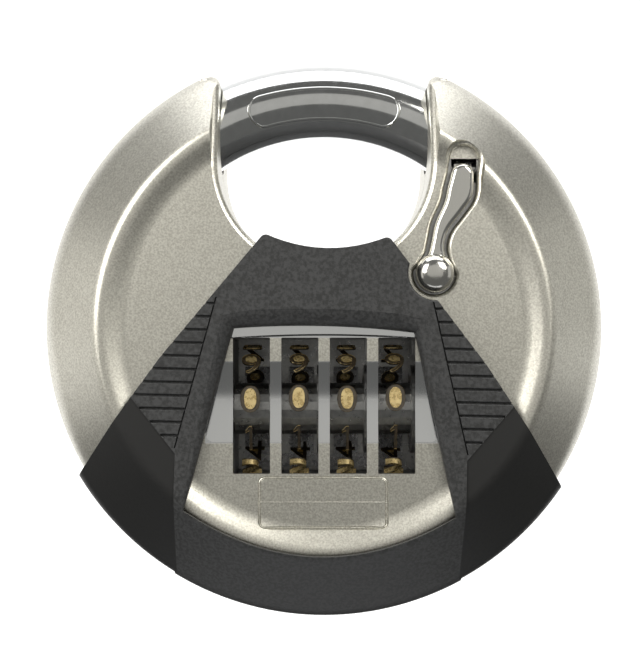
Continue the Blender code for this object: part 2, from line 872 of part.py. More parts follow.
def detent_spring():
    """Leaf spring with a finger behind each dial."""
    back = dial_axis_front - dial_radius - fit - leaf_thickness
    foot = body_back + leaf_thickness
    low = dial_axis_up - dial_radius
    line = [(low, foot), (low + leaf_foot, foot), (dial_axis_up, back), (dial_axis_up + leaf_tail, foot)]
    strip = plate(strip_outline(line, leaf_thickness), 0.0, 1.0)
    # The strip is drawn as (up, front) and stood so that its thickness runs across the lock.
    strip.transform(Matrix(((0, 0, 1, 0), (1, 0, 0, 0), (0, 1, 0, 0), (0, 0, 0, 1))))
    left = dial_middle(0) - leaf_width / 2
    right = dial_middle(dial_count - 1) + leaf_width / 2
    strip.transform(Matrix.Diagonal((right - left, 1.0, 1.0, 1.0)))
    strip.transform(Matrix.Translation((left, 0.0, 0.0)))
    leaf = piece("detent_spring", tidy(strip), spring_steel)
    for index in range(dial_count - 1):
        gap_left = dial_middle(index) + leaf_width / 2
        gap_right = dial_middle(index + 1) - leaf_width / 2
        gap = box((gap_left, low + leaf_root, -deep), (gap_right, 0.0, 0.0))
        combine(leaf, cutter(f"leaf_gap_{index + 1}", gap))


detent_spring()


# Blocking bar, drive slide and bolt


def blocking_bar():
    bar_front = bar_back + bar_depth
    spine = box(
        (-bar_half_length, bar_bottom, bar_back),
        (bar_half_length, bar_bottom + bar_height, bar_front),
    )
    bar = piece("blocking_bar", spine, plain_steel)
    tip = dial_axis_up + flange_radius + fit + bar_travel
    for index in range(dial_count):
        middle = finger_middle(index)
        finger = box(
            (middle - finger_width / 2, tip, bar_back + fit),
            (middle + finger_width / 2, bar_bottom + past, bar_front - fit),
        )
        combine(bar, cutter(f"finger_{index + 1}", finger), "UNION")


def drive_slide():
    top = pin_up - toe_half_thickness - fit
    arm = box(
        (slide_left, bar_bottom, slide_back),
        (slide_right, top, slide_back + slide_depth),
    )
    slide = piece("drive_slide", arm, plain_steel)
    foot = box(
        (foot_left, bar_bottom + fit, bar_back + bar_depth + fit),
        (slide_right - fit, bar_bottom + bar_height - fit, slide_back + slide_depth - fit),
    )
    combine(slide, cutter("slide_foot", foot), "UNION")


def locking_bolt():
    half = bolt_size[0] / 2
    low = (bolt_left, bolt_up - half, bolt_front - bolt_size[1])
    high = (bolt_nose, bolt_up + half, bolt_front)
    piece("locking_bolt", box(low, high), plain_steel)


blocking_bar()
drive_slide()
locking_bolt()


# Springs


def coil(length, radius, turns):
    """Points of a coil along Z from 0 to the given length."""
    steps = 9 * turns
    points = []
    for i in range(steps + 1):
        angle = 2 * math.pi * turns * i / steps
        points.append((radius * math.cos(angle), radius * math.sin(angle), length * i / steps))
    return points


def coil_spring(name, start, length, along, thickness, turns):
    """Compression spring from a place along X or Y. The thickness is the radius of its wire."""
    points = []
    for x, y, z in coil(length - 2 * thickness, spring_radius, turns):
        local = (z + thickness, x, y) if along == "X" else (x, z + thickness, y)
        points.append(tuple(a + b for a, b in zip(start, local)))
    piece(name, wire(points, thickness), spring_steel)


bar_spring_start = bar_bottom - bar_spring_length - fit
bar_middle = bar_back + bar_depth / 2
for side, place in (("left", -bar_spring_place), ("right", bar_spring_place)):
    spring_start = (place, bar_spring_start, bar_middle)
    coil_spring(f"bar_spring_{side}", spring_start, bar_spring_length, "Y", spring_wire, spring_turns)
bolt_spring_start = (bolt_left - bolt_spring_length - fit / 2, bolt_up, bolt_front - bolt_size[1] / 2)
coil_spring("bolt_spring", bolt_spring_start, bolt_spring_length, "X", bolt_spring_wire, bolt_spring_turns)


# Release lever, its bracket, pin and spring


def release_lever():
    at = ((hub_left + hub_right) / 2, pin_up, pin_front)
    body = plate(lever_outline(0.0), lever_bottom, lever_top)
    lever = piece("release_lever", drop_to(body, at), nickel, at)
    knob = bpy.data.meshes.new("knob")
    shape = bmesh.new()
    bmesh.ops.create_uvsphere(shape, u_segments=20, v_segments=12, radius=knob_radius)
    bmesh.ops.translate(shape, vec=(knob_x, knob_y, knob_height), verts=shape.verts)
    bmesh.ops.bisect_plane(
        shape,
        geom=shape.verts[:] + shape.edges[:] + shape.faces[:],
        plane_co=(0.0, 0.0, lever_bottom + fit),
        plane_no=(0.0, 0.0, 1.0),
        clear_inner=True,
    )
    bmesh.ops.contextual_create(shape, geom=[e for e in shape.edges if e.is_boundary])
    shape.to_mesh(knob)
    shape.free()
    neck = box(
        (hub_left, pin_up - neck_down, pin_front),
        (hub_right, pin_up + neck_up, lever_bottom + past),
    )
    toe = box(
        (hub_left, pin_up - toe_half_thickness, pin_front - toe_reach),
        (hub_right, pin_up + toe_half_thickness, pin_front),
    )
    hub = rod(hub_radius, hub_left, hub_right, "X", (pin_up, pin_front), 16)
    for name, mesh in (("knob", tidy(knob)), ("neck", neck), ("toe", toe), ("hub", hub)):
        combine(lever, cutter(f"lever_{name}", mesh), "UNION")
    bore = rod(pin_radius + fit, hub_left - past, hub_right + past, "X", (pin_up, pin_front), 12)
    combine(lever, cutter("lever_bore", bore))


def lever_bracket():
    """Floor of the lever's recess, with two ears that hold the lever's pin."""
    floor_back = bracket_front - bracket_thickness
    outline = lever_outline(bracket_margin, 0.0)
    bracket = piece("lever_bracket", plate(outline, floor_back, bracket_front), plain_steel)
    window = box(
        (ear_left + ear_thickness, pin_up - hub_radius - play, floor_back - past),
        (ear_right - ear_thickness, pin_up + 4 * hub_radius, bracket_front + past),
    )
    ears = {"left": ear_left, "right": ear_right - ear_thickness}
    for side, x in ears.items():
        ear = box(
            (x, pin_up - 1.5 * hub_radius, slide_back + fit),
            (x + ear_thickness, pin_up + hub_radius, bracket_front),
        )
        combine(bracket, cutter(f"ear_{side}", ear), "UNION")
    combine(bracket, cutter("bracket_window", window))
    combine(bracket, cutter("bracket_throat", plate(throat_outline(wall + fit), -deep, deep)))
    bore = rod(pin_radius + fit / 2, ear_left - past, ear_right + past, "X", (pin_up, pin_front), 12)
    combine(bracket, cutter("ear_bore", bore))


def lever_spring():
    """Torsion spring beside the hub, one leg under the lever and one on the bracket."""
    turn_radius = pin_radius + fit + lever_spring_wire
    start = hub_right + fit + lever_spring_wire
    end = ear_right - ear_thickness - fit - lever_spring_wire
    points = []
    for y, z, along in coil(end - start, turn_radius, lever_spring_turns):
        points.append((start + along, pin_up + y, pin_front + z))
    leg = (points[-1][0], points[-1][1], points[-1][2] - 2 * hub_radius)
    piece("lever_spring", wire(points + [leg], lever_spring_wire), spring_steel)


release_lever()
lever_bracket()
pin_length = (ear_left - fit, ear_right + fit)
piece("lever_pin", rod(pin_radius, *pin_length, "X", (pin_up, pin_front), 12), plain_steel)
lever_spring()
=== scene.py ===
import json
import math

import bmesh
import bpy
from mathutils import Matrix, Vector


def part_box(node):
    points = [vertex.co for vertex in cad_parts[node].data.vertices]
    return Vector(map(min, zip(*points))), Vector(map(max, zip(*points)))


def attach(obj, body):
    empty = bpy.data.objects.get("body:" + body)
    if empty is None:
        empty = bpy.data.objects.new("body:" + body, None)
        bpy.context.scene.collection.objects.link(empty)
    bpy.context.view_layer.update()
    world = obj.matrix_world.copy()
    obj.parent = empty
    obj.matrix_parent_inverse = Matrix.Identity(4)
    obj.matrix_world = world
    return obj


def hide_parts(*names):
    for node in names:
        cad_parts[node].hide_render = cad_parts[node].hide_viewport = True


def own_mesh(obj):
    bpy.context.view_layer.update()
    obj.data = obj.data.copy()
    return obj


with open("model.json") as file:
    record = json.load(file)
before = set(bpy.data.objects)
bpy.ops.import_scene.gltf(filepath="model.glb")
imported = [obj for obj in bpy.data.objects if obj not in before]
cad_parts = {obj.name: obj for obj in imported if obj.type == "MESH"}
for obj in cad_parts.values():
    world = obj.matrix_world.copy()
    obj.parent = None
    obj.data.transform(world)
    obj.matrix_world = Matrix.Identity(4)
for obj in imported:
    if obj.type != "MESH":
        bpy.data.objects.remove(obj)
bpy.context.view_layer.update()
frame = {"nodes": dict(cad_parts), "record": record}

mm = 0.001
front = Vector((0, 0, 1))
shellLow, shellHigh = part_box("front_shell")[0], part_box("rear_shell")[1]
midPlane = (shellLow.y + shellHigh.y) / 2

# The lock is drawn in millimetres, lying on its back: x to the right, y up the lock, z towards the front.
# standUp puts it in the frame, where its front looks along -Y.
standUp = Matrix(((mm, 0, 0, 0), (0, 0, -mm, midPlane), (0, mm, 0, 0), (0, 0, 0, 1)))


# ---------- outlines

def arc(centre, radius, start, end, steps):  # degrees, anticlockwise from the right
    turn = [math.radians(start + (end - start) * i / steps) for i in range(steps + 1)]
    return [Vector((centre[0] + radius * math.cos(a), centre[1] + radius * math.sin(a))) for a in turn]


def filleted(corners, closed=True, steps=6):  # corners are (x, y, radius)
    points = []
    last = len(corners) - 1
    for i, (x, y, radius) in enumerate(corners):
        here = Vector((x, y))
        if radius == 0 or (not closed and i in (0, last)):
            points.append(here)
            continue
        before = Vector(corners[i - 1][:2]) - here
        after = Vector(corners[(i + 1) % len(corners)][:2]) - here
        half = before.angle(after) / 2
        reach = min(radius / math.tan(half), 0.48 * before.length, 0.48 * after.length)
        inwards = (before.normalized() + after.normalized()).normalized()
        centre = here + inwards * reach / math.cos(half)
        start = here + before.normalized() * reach - centre
        end = here + after.normalized() * reach - centre
        size = start.length
        points += [centre + start.lerp(end, k / steps).normalized() * size for k in range(steps + 1)]
    return points


def bowed(start, end, sag, steps):  # from start to end, bulging to the right of the way by sag
    start, end = Vector(start), Vector(end)
    way = end - start
    across = Vector((way.y, -way.x)).normalized()
    shares = [i / steps for i in range(steps + 1)]
    return [start + way * s + across * sag * 4 * s * (1 - s) for s in shares]


def smoothed(line, steps):  # a smooth curve through the points of a line, however many numbers each has
    points = []
    for i in range(len(line) - 1):
        around = [line[max(i - 1, 0)], line[i], line[i + 1], line[min(i + 2, len(line) - 1)]]
        for k in range(steps):
            t = k / steps
            points.append([
                (2 * b + (c - a) * t + (2 * a - 5 * b + 4 * c - d) * t**2 + (3 * b - a - 3 * c + d) * t**3) / 2
                for a, b, c, d in zip(*around)
            ])
    points.append(list(line[-1]))
    return points


def turnedBack(points, degrees):  # clockwise about the lock's centre
    turn = Matrix.Rotation(-math.radians(degrees), 2)
    return [turn @ Vector(p) for p in points]


def mirrored(points):
    return [Vector((-p[0], p[1])) for p in reversed(points)]


def outwardNormals(outline):
    area = sum(a.x * b.y - b.x * a.y for a, b in zip(outline, outline[1:] + outline[:1]))
    side = 1 if area > 0 else -1
    normals = []
    for i, point in enumerate(outline):
        along = (outline[(i + 1) % len(outline)] - point).normalized() + (point - outline[i - 1]).normalized()
        along.normalize()
        normals.append(Vector((along.y, -along.x)) * side)
    return normals


# ---------- shapes

def raiseRing(shape, ring, places):  # extrudes a closed ring of points and moves the copies
    edges = [shape.edges.get((ring[i - 1], ring[i])) for i in range(len(ring))]
    made = bmesh.ops.extrude_edge_only(shape, edges=edges)["geom"]
    fresh = {g for g in made if isinstance(g, bmesh.types.BMVert)}
    following = []
    for vert in ring:
        following.append(next(e.other_vert(vert) for e in vert.link_edges if e.other_vert(vert) in fresh))
    for vert, place in zip(following, places):
        vert.co = place
    return following


def flaredBlock(outline, heightAt, lip, low, high=None, outwards=1, lowLip=0, steps=5, deep=1):
    # a block with upright sides whose top edge rolls over at heightAt: outwards for a cutter, inwards for a solid
    shape = bmesh.new()
    normals = outwardNormals(outline)
    lowAt = low if callable(low) else (lambda p: low)
    rows = []
    if lowLip:
        for k in range(steps):
            turn = math.radians(90 * k / steps)
            rows.append((lambda p, t=turn: lowLip * (1 - math.sin(t)), lambda p, t=turn: low + lowLip * (1 - math.cos(t))))
    else:
        rows.append((lambda p: 0, lowAt))
    lipAt = lip if callable(lip) else (lambda p: lip)
    last = 78 if high else 90
    for k in range(steps + 1):
        turn = math.radians(last * k / steps)
        rows.append((
            lambda p, t=turn: outwards * lipAt(p) * (1 - math.cos(t)),
            lambda p, t=turn: heightAt(p) - deep * lipAt(p) * (1 - math.sin(t)),
        ))
    if high:
        rows.append((lambda p: outwards * lipAt(p) * 1.6, lambda p: high))
    ring = [shape.verts.new((p.x, p.y, lowAt(p))) for p in outline]
    shape.faces.new(ring)
    first = True
    for offset, level in rows:
        places = []
        for point, normal in zip(outline, normals):
            moved = point + normal * offset(point)
            places.append(Vector((moved.x, moved.y, level(point))))
        if first:
            for vert, place in zip(ring, places):
                vert.co = place
            first = False
        else:
            ring = raiseRing(shape, ring, places)
    shape.faces.new(ring)
    bmesh.ops.recalc_face_normals(shape, faces=shape.faces)
    return shape


def block(outline, low, high):
    shape = bmesh.new()
    face = shape.faces.new([shape.verts.new((p[0], p[1], low)) for p in outline])
    made = bmesh.ops.extrude_face_region(shape, geom=[face])["geom"]
    bmesh.ops.translate(shape, vec=(0, 0, high - low), verts=[g for g in made if isinstance(g, bmesh.types.BMVert)])
    bmesh.ops.recalc_face_normals(shape, faces=shape.faces)
    return shape


def spun(profile, steps=192):  # (radius, height) points turned about z
    shape = bmesh.new()
    verts = [shape.verts.new((p[0], 0, p[1])) for p in profile]
    edges = [shape.edges.new(pair) for pair in zip(verts, verts[1:])]
    bmesh.ops.spin(
        shape, geom=verts + edges, cent=(0, 0, 0), axis=(0, 0, 1), angle=2 * math.pi, steps=steps, use_merge=True,
    )
    bmesh.ops.remove_doubles(shape, verts=shape.verts, dist=1e-4)
    bmesh.ops.dissolve_limit(
        shape, angle_limit=math.radians(0.05), verts=shape.verts, edges=shape.edges, use_dissolve_boundaries=False,
    )
    bmesh.ops.recalc_face_normals(shape, faces=shape.faces)
    return shape


def rod(radius, start, end, segments=48):  # a round bar between two points
    shape = bmesh.new()
    start, end = Vector(start), Vector(end)
    bmesh.ops.create_cone(
        shape, cap_ends=True, segments=segments, radius1=radius, radius2=radius, depth=(end - start).length,
    )
    turn = front.rotation_difference(end - start).to_matrix().to_4x4()
    bmesh.ops.transform(shape, matrix=Matrix.Translation((start + end) / 2) @ turn, verts=shape.verts)
    return shape


def ringBar(ringRadius, barRadius, start, end, steps, sides=48):  # a bent round bar, degrees clockwise from the top
    shape = bmesh.new()
    made = bmesh.ops.create_circle(shape, cap_ends=True, segments=sides, radius=barRadius)
    atTop = Matrix.Translation((0, ringRadius, 0)) @ Matrix.Rotation(math.radians(90), 4, "Y")
    placed = Matrix.Rotation(-math.radians(start), 4, "Z") @ atTop
    bmesh.ops.transform(shape, matrix=placed, verts=made["verts"])
    bmesh.ops.spin(
        shape, geom=shape.faces[:], cent=(0, 0, 0), axis=(0, 0, 1), angle=-math.radians(end - start), steps=steps,
    )
    bmesh.ops.remove_doubles(shape, verts=shape.verts, dist=1e-4)
    bmesh.ops.recalc_face_normals(shape, faces=shape.faces)
    return shape


def asObject(name, shape):
    mesh = bpy.data.meshes.new(name)
    shape.to_mesh(mesh)
    shape.free()
    made = bpy.data.objects.new(name, mesh)
    bpy.context.scene.collection.objects.link(made)
    return made


def evaluated(made):
    bpy.context.view_layer.update()
    return bpy.data.meshes.new_from_object(made.evaluated_get(bpy.context.evaluated_depsgraph_get()))


def carve(target, tools, operation="DIFFERENCE"):
    helpers = [asObject("tool", tool) if isinstance(tool, bmesh.types.BMesh) else tool for tool in tools]
    for helper in helpers:
        cut = target.modifiers.new("cut", "BOOLEAN")
        cut.operation = operation
        cut.solver = "EXACT"
        cut.object = helper
    mesh = evaluated(target)
    target.modifiers.clear()
    target.data = mesh
    for helper in helpers:
        bpy.data.objects.remove(helper)
    return target


def tube(path, radius, closed=True, sides=2):
    curve = bpy.data.curves.new("path", "CURVE")
    curve.dimensions = "3D"
    curve.bevel_depth = radius
    curve.bevel_resolution = sides
    curve.use_fill_caps = True
    spline = curve.splines.new("POLY")
    spline.points.add(len(path) - 1)
    for point, place in zip(spline.points, path):
        point.co = (*place, 1)
    spline.use_cyclic_u = closed
    drawn = bpy.data.objects.new("path", curve)
    bpy.context.scene.collection.objects.link(drawn)
    shape = bmesh.new()
    shape.from_mesh(evaluated(drawn))
    bpy.data.objects.remove(drawn)
    bmesh.ops.remove_doubles(shape, verts=shape.verts, dist=1e-4)
    bmesh.ops.recalc_face_normals(shape, faces=shape.faces)
    return shape


def joined(shapes):
    whole = bmesh.new()
    for shape in shapes:
        mesh = bpy.data.meshes.new("part")
        shape.to_mesh(mesh)
        whole.from_mesh(mesh)
        shape.free()
        bpy.data.meshes.remove(mesh)
    return whole


def fitPiece(name, made, finish, body, stands=(), sharp=32):
    # a bmesh or an object drawn on its back becomes a finished piece of the lock
    if isinstance(made, bmesh.types.BMesh):
        made = asObject(name, made)
    made.name = name
    made.data.name = name
    made.data.transform(standUp)
    made.data.shade_smooth()
    made.data.set_sharp_from_angle(angle=math.radians(sharp))
    made.data.materials.clear()
    made.data.materials.append(finish)
    even = made.modifiers.new("even shading", "WEIGHTED_NORMAL")
    even.keep_sharp = True
    even.weight = 60
    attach(made, body)
    if stands:
        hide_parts(*stands)
    return made


# ---------- outlines of the lock

casing = {
    "profile": (  # radius and height of the pressed surface
        (0, 10.4), (23.9, 10.4), (24.6, 10.47), (25.3, 10.68), (26.2, 11.04), (26.75, 11.17), (27.2, 11.2),
        (27.55, 11.16), (27.9, 10.98), (28.25, 10.7), (33.2, 5.98), (33.85, 5.28), (34.35, 4.6), (34.72, 3.9),
        (34.93, 3.2), (35, 2.5), (35, 0.4), (34.9, 0.2), (34.75, 0.15),
    ),
    "wall": 1.0,
    "throatRadius": 12.95,
    "throatUp": 20.3,
    "horn": 1.6,  # rounding of the horns' tips
    "roll": 0.9,  # rounding of the throat's edge
    "seamRoll": 0.45,
}


def casingHeight(point):
    line = casing["profile"]
    radius = min(Vector(point).length, 34.9)
    for (r0, h0), (r1, h1) in zip(line, line[1:]):
        if r0 <= radius <= r1 and r1 > r0:
            return h0 + (h1 - h0) * (radius - r0) / (r1 - r0)
    return line[-1][1]


def offsetProfile(profile, distance):
    line = [Vector(p) for p in profile]
    moved = []
    for i, point in enumerate(line):
        along = (line[min(i + 1, len(line) - 1)] - line[max(i - 1, 0)]).normalized()
        moved.append(point + Vector((-along.y, along.x)) * distance)
    moved[0].x = 0
    return moved


def throatOutline(extra=0.0):
    half = casing["throatRadius"] + extra
    tipX = casing["throatRadius"] + casing["horn"]
    tipY = math.sqrt((35 - casing["horn"])**2 - tipX**2)
    tipAngle = math.degrees(math.atan2(tipY, tipX))
    right = arc((0, casing["throatUp"]), half, 270, 360, 24)
    right += arc((tipX, tipY), casing["horn"] - extra, 180, tipAngle, 10)
    right.append(Vector((50 * math.cos(math.radians(tipAngle)), 50 * math.sin(math.radians(tipAngle)))))
    return mirrored(right)[:-1] + right


lever = {
    "line": (  # x, y and width up the middle of the lever
        (13.4, 6.6, 4.3), (13.6, 8.6, 2.2), (13.75, 10.3, 1.55), (14.3, 12.35, 1.8), (15.6, 14.6, 2.4),
        (16.4, 16.4, 3.1), (16.75, 18.5, 2.7),
    ),
    "knob": (13.4, 6.6),
    "low": 9.3,
    "high": 11.25,
}


def leverOutline(extra=0.0, headroom=0.0):
    line = smoothed(lever["line"], 8)
    left, right = [], []
    for i, (x, y, width) in enumerate(line):
        before, after = line[max(i - 1, 0)], line[min(i + 1, len(line) - 1)]
        along = Vector((after[0] - before[0], after[1] - before[1])).normalized()
        across = Vector((-along.y, along.x)) * (width / 2 + extra)
        left.append(Vector((x, y)) + across)
        right.append(Vector((x, y)) - across)
    turn = math.degrees(math.atan2(along.y, along.x))
    top = arc(Vector(line[-1][:2]) + along * headroom, line[-1][2] / 2 + extra, turn - 90, turn + 90, 16)
    along = Vector((line[1][0] - line[0][0], line[1][1] - line[0][1]))
    turn = math.degrees(math.atan2(along.y, along.x))
    foot = arc(line[0][:2], line[0][2] / 2 + extra, turn + 90, turn + 270, 20)
    return right[1:] + top + left[::-1][1:-1] + foot


bumper = {
    "skin": (
        (0, 12.4), (26.6, 12.4), (27.3, 12.34), (27.9, 12.13), (28.4, 11.78), (34.9, 6.35), (35.4, 5.75),
        (35.75, 5.05), (35.95, 4.3), (36, 3.6), (36, 0.5), (35.85, 0.22), (35.65, 0.15),
    ),
    "turn": 1.4,  # degrees clockwise that it sits turned on the casing
    "window": ((10.95, -0.35), (16.35, -22.4)),
    "grooves": [2.57 - 1.592 * i for i in range(11)],
    "grooveWidth": 0.26,
    "grooveDepth": 0.5,
    "facetDepth": 0.18,
    "tileInner": ((13.37, 2.38), (17.67, -14.84)),  # the tiles' ends beside the window
    "tileOuter": ((22.91, -8.98), (17.48, -15.55)),  # the diagonal that ends the lower tiles
}


def bumperOutline():
    far = 44
    side = [(7.5, 11.15, 0.8), (19.5, -3.9, 0.6), (far, -3.9 - 1.435 * (far - 19.5), 0), (far, -70, 0)]
    left = [(-x, y, r) for x, y, r in reversed(side)]
    top = [(p.x, p.y, 0) for p in bowed((-7.5, 11.15), (7.5, 11.15), 1.6, 12)[1:-1]]
    return turnedBack(filleted([left[-1]] + top + side + left[:-1]), bumper["turn"])


def windowOutline():
    (topX, topY), (lowX, lowY) = bumper["window"]
    top = bowed((topX, topY), (-topX, topY), 0.55, 12)
    low = bowed((-lowX, lowY), (lowX, lowY), 5.1, 24)
    return turnedBack(top + low, bumper["turn"])


def xOn(line, y):
    (x0, y0), (x1, y1) = line
    return x0 + (x1 - x0) * (y - y0) / (y1 - y0)


# ---------- casing

def casingShell(withFace):
    outer = [Vector(p) for p in casing["profile"]]
    inner = offsetProfile(outer[:-3], -casing["wall"])
    inner.append(Vector((inner[-1].x, 0.15)))
    shell = asObject("shell", spun(outer + inner[::-1]))
    cavity = spun([Vector((0, -3))] + [Vector((inner[-1].x, -3))] + inner[::-1][1:])
    throat = throatOutline(casing["wall"])
    wallRing = carve(asObject("wall", block(throat, 0.15, 13)), [block(throatOutline(), -1, 14)])
    limit = spun([Vector((0, -1))] + [Vector((outer[-1].x - 0.3, -1))] + offsetProfile(outer[:-2], -0.2)[::-1])
    carve(wallRing, [limit], "INTERSECT")
    cavity.free()
    carve(shell, [wallRing], "UNION")
    mouth = flaredBlock(throatOutline(), casingHeight, casing["roll"], 0.1, 16, 1, casing["seamRoll"])
    ring = ringBar(28.7, 5.15, -52, 52, 40)
    tools = [mouth, ring]
    if withFace:
        skirt = block(leverOutline(1.25, 1.7), 8.95, 9.9)
        carve(shell, [skirt], "UNION")
        for middle in dials["slots"]:
            half = dials["slotWidth"] / 2
            low, high = dials["slotUp"]
            corners = [(middle - half, low), (middle + half, low), (middle + half, high), (middle - half, high)]
            tools.append(block(filleted([(x, y, 0.12) for x, y in corners], steps=2), 8.2, 12))
        tools.append(flaredBlock(leverOutline(0.42, 1.9), lambda p: 10.4, 0.6, 8.2, 12))
        tools += troughTools() + [frameGroove(0.22), stepTool()]
    carve(shell, tools[:1])
    carve(shell, tools[1:2])
    if withFace:
        carve(shell, tools[2:])
        ledge = asObject("ledge", block(leverOutline(1.1, 1.9), 8.96, 9.12))
        carve(ledge, [block([(0, 0), (30, 0), (30, 20.6), (0, 20.6)], 8, 10)])
        carve(shell, [ledge], "UNION")
    return shell


dials = {
    "middles": (-8.955, -3.085, 2.785, 8.655),
    "slots": (-8.805, -2.935, 2.935, 8.805),
    "slotWidth": 4.5,
    "slotUp": (-17.7, -1.2),
    "up": -10.17,
    "height": 2.5,
    "radius": 8.2,
    "width": 3.8,
    "grooveDepth": 0.45,
    "read": 12,  # degrees above level of the face that is read
    "turned": (0.6, -0.4, 0.3, -0.7),  # a dial never stops quite level
    "textSize": 3.55,
    "textStretch": (1.62, 1.36),
}
trough = {"left": -14.4, "right": 13.9, "low": -13.86, "high": -4.1, "depth": 0.5}
nameFrame = {"left": -7.83, "right": 7.6, "low": -24.24, "high": -18.19, "middle": -21.14, "corner": 0.65}


def troughTools():
    half = (trough["high"] - trough["low"]) / 2
    depth = trough["depth"]
    radius = (half**2 + depth**2) / (2 * depth)
    middle = (trough["high"] + trough["low"]) / 2
    roller = asObject("roller", rod(
        radius, (trough["left"] - 5, middle, 10.4 - depth + radius), (trough["right"] + 5, middle, 10.4 - depth + radius), 384,
    ))
    corners = [(trough["left"], trough["low"]), (trough["right"], trough["low"]), (trough["right"], trough["high"]), (trough["left"], trough["high"])]
    bay = block(filleted([(x, y, 1.1) for x, y in corners]), 8, 12)
    carve(roller, [bay], "INTERSECT")
    marks = []
    for a, b in zip(dials["slots"], dials["slots"][1:]):
        marks.append(block([(a + 2.4, -8.85), (b - 2.4, -8.85), (b - 2.4, -8.65), (a + 2.4, -8.65)], 9.78, 11))
    for x in (-12.6, 11.5):
        marks.append(block([(x, -8.85), (x + 0.7, -8.85), (x + 0.7, -8.65), (x, -8.65)], 9.78, 11))
    return [roller, joined(marks)]


def stepTool():  # the polished step above the slots
    low = bowed((-12.4, -1.25), (12.4, -1.25), -0.5, 16)
    return flaredBlock(low + [Vector((12.4, 3)), Vector((-12.4, 3))], lambda p: 10.4, 0.3, 10.1, 12)


def framePath():
    f = nameFrame
    corners = [(f["left"], f["low"]), (f["right"], f["low"]), (f["right"], f["high"]), (f["left"], f["high"])]
    return filleted([(x, y, f["corner"]) for x, y in corners])


def frameGroove(radius):
    height = 10.4 + radius * 0.55
    around = tube([(*p, height) for p in framePath()], radius)
    return around


def frameBeads():
    f = nameFrame
    around = tube([(*p, 10.37) for p in framePath()], 0.09)
    middle = tube([(f["left"], f["middle"], 10.37), (f["right"], f["middle"], 10.37)], 0.09, closed=False)
    return [around, middle]


# ---------- bumpers

def bumperMoulding(withFace):
    body = asObject("bumper", spun([Vector(p) for p in bumper["skin"]] + [Vector((0, 0.15))]))
    carve(body, [block(bumperOutline(), -2, 14)], "INTERSECT")
    bed = asObject("bed", spun([Vector((0, -3)), Vector((35.3, -3))] + offsetProfile(casing["profile"][:-3], 0.3)[::-1]))
    carve(bed, [block(throatOutline(-0.3), -4, 14)])  # the moulding covers the throat's floor
    carve(body, [bed])
    grooves = []
    for y in bumper["grooves"]:
        for side in (-1, 1):
            near = xOn(bumper["tileInner"], y)
            edge = 7.5 + 0.797 * (11.15 - y) if y > -3.9 else 19.5 + (-3.9 - y) / 1.435
            far = min(edge + 1, 60 if y > -8.98 else xOn(bumper["tileOuter"], y))
            if far - near < 0.5:
                continue
            half = bumper["grooveWidth"] / 2
            xs = [near + (far - near) * i / 16 for i in range(17)]
            outline = [(side * x, y - half) for x in xs] + [(side * x, y + half) for x in reversed(xs)]
            depth = bumper["grooveDepth"]
            grooves.append(flaredBlock(
                turnedBack(outline, bumper["turn"]), bumperHeight, 0.14, lambda p: bumperHeight(p) - depth, 14,
            ))
    for side in (-1, 1):  # the line that closes the tiles' inner ends
        (x0, y0), (x1, y1) = bumper["tileInner"]
        x0, y0 = x0 - 0.25 * (3.4 - y0), 3.4
        ends = [(x0 - 0.18, y0), (x0, y0), (x1, y1), (x1 - 0.18, y1)]
        grooves.append(block(turnedBack([(side * x, y) for x, y in ends], bumper["turn"]), 11.9, 14))
    carve(body, facetTools())
    carve(body, grooves)
    if withFace:
        edge = flaredBlock(windowOutline(), lambda p: 12.4, windowLip, 3, 14, steps=7, deep=0.68)
        carve(body, [edge])
        knobX, knobY = lever["knob"]
        notch = flaredBlock(arc((knobX, knobY), 3.3, 0, 354, 59), lambda p: 12.4, 0.3, 9, 14)
        carve(body, [notch])
    return body


def windowLip(point):  # widest above the window, narrow below it
    if point.y > -1.2:
        return 2.5
    if point.y < -21.6:
        return 0.45
    return 1.75


def facetTools():  # the smooth corners beyond the ribs lie a little lower
    tools = []
    under = offsetProfile(bumper["skin"], -bumper["facetDepth"])
    under = [Vector((0, -3))] + [Vector((under[-1].x, -3))] + under[::-1][3:]
    for side in (-1, 1):
        (x0, y0), (x1, y1) = bumper["tileOuter"]
        far = (x0 + 9, y0 + 9 * (y0 - y1) / (x0 - x1))
        corners = [(x1, y1), far, (42, y0), (42, -40), (x1 + 0.6, -40)]
        outline = turnedBack([(side * x, y) for x, y in corners], bumper["turn"])
        tools.append(carve(asObject("facet", block(outline, 0.5, 14)), [spun(under)]))
    return tools


def bumperHeight(point):
    line = bumper["skin"]
    radius = min(Vector(point).length, 35.9)
    for (r0, h0), (r1, h1) in zip(line, line[1:]):
        if r0 <= radius <= r1 and r1 > r0:
            return h0 + (h1 - h0) * (radius - r0) / (r1 - r0)
    return line[-1][1]


# ---------- shackle, lever and dials

shackleBar = {
    "ring": 28.7,
    "radius": 4.75,
    "start": -41,
    "end": 112,
    "plate": {"reach": 19.2, "middle": -0.58, "half": 1.88, "line": 0.17},
}


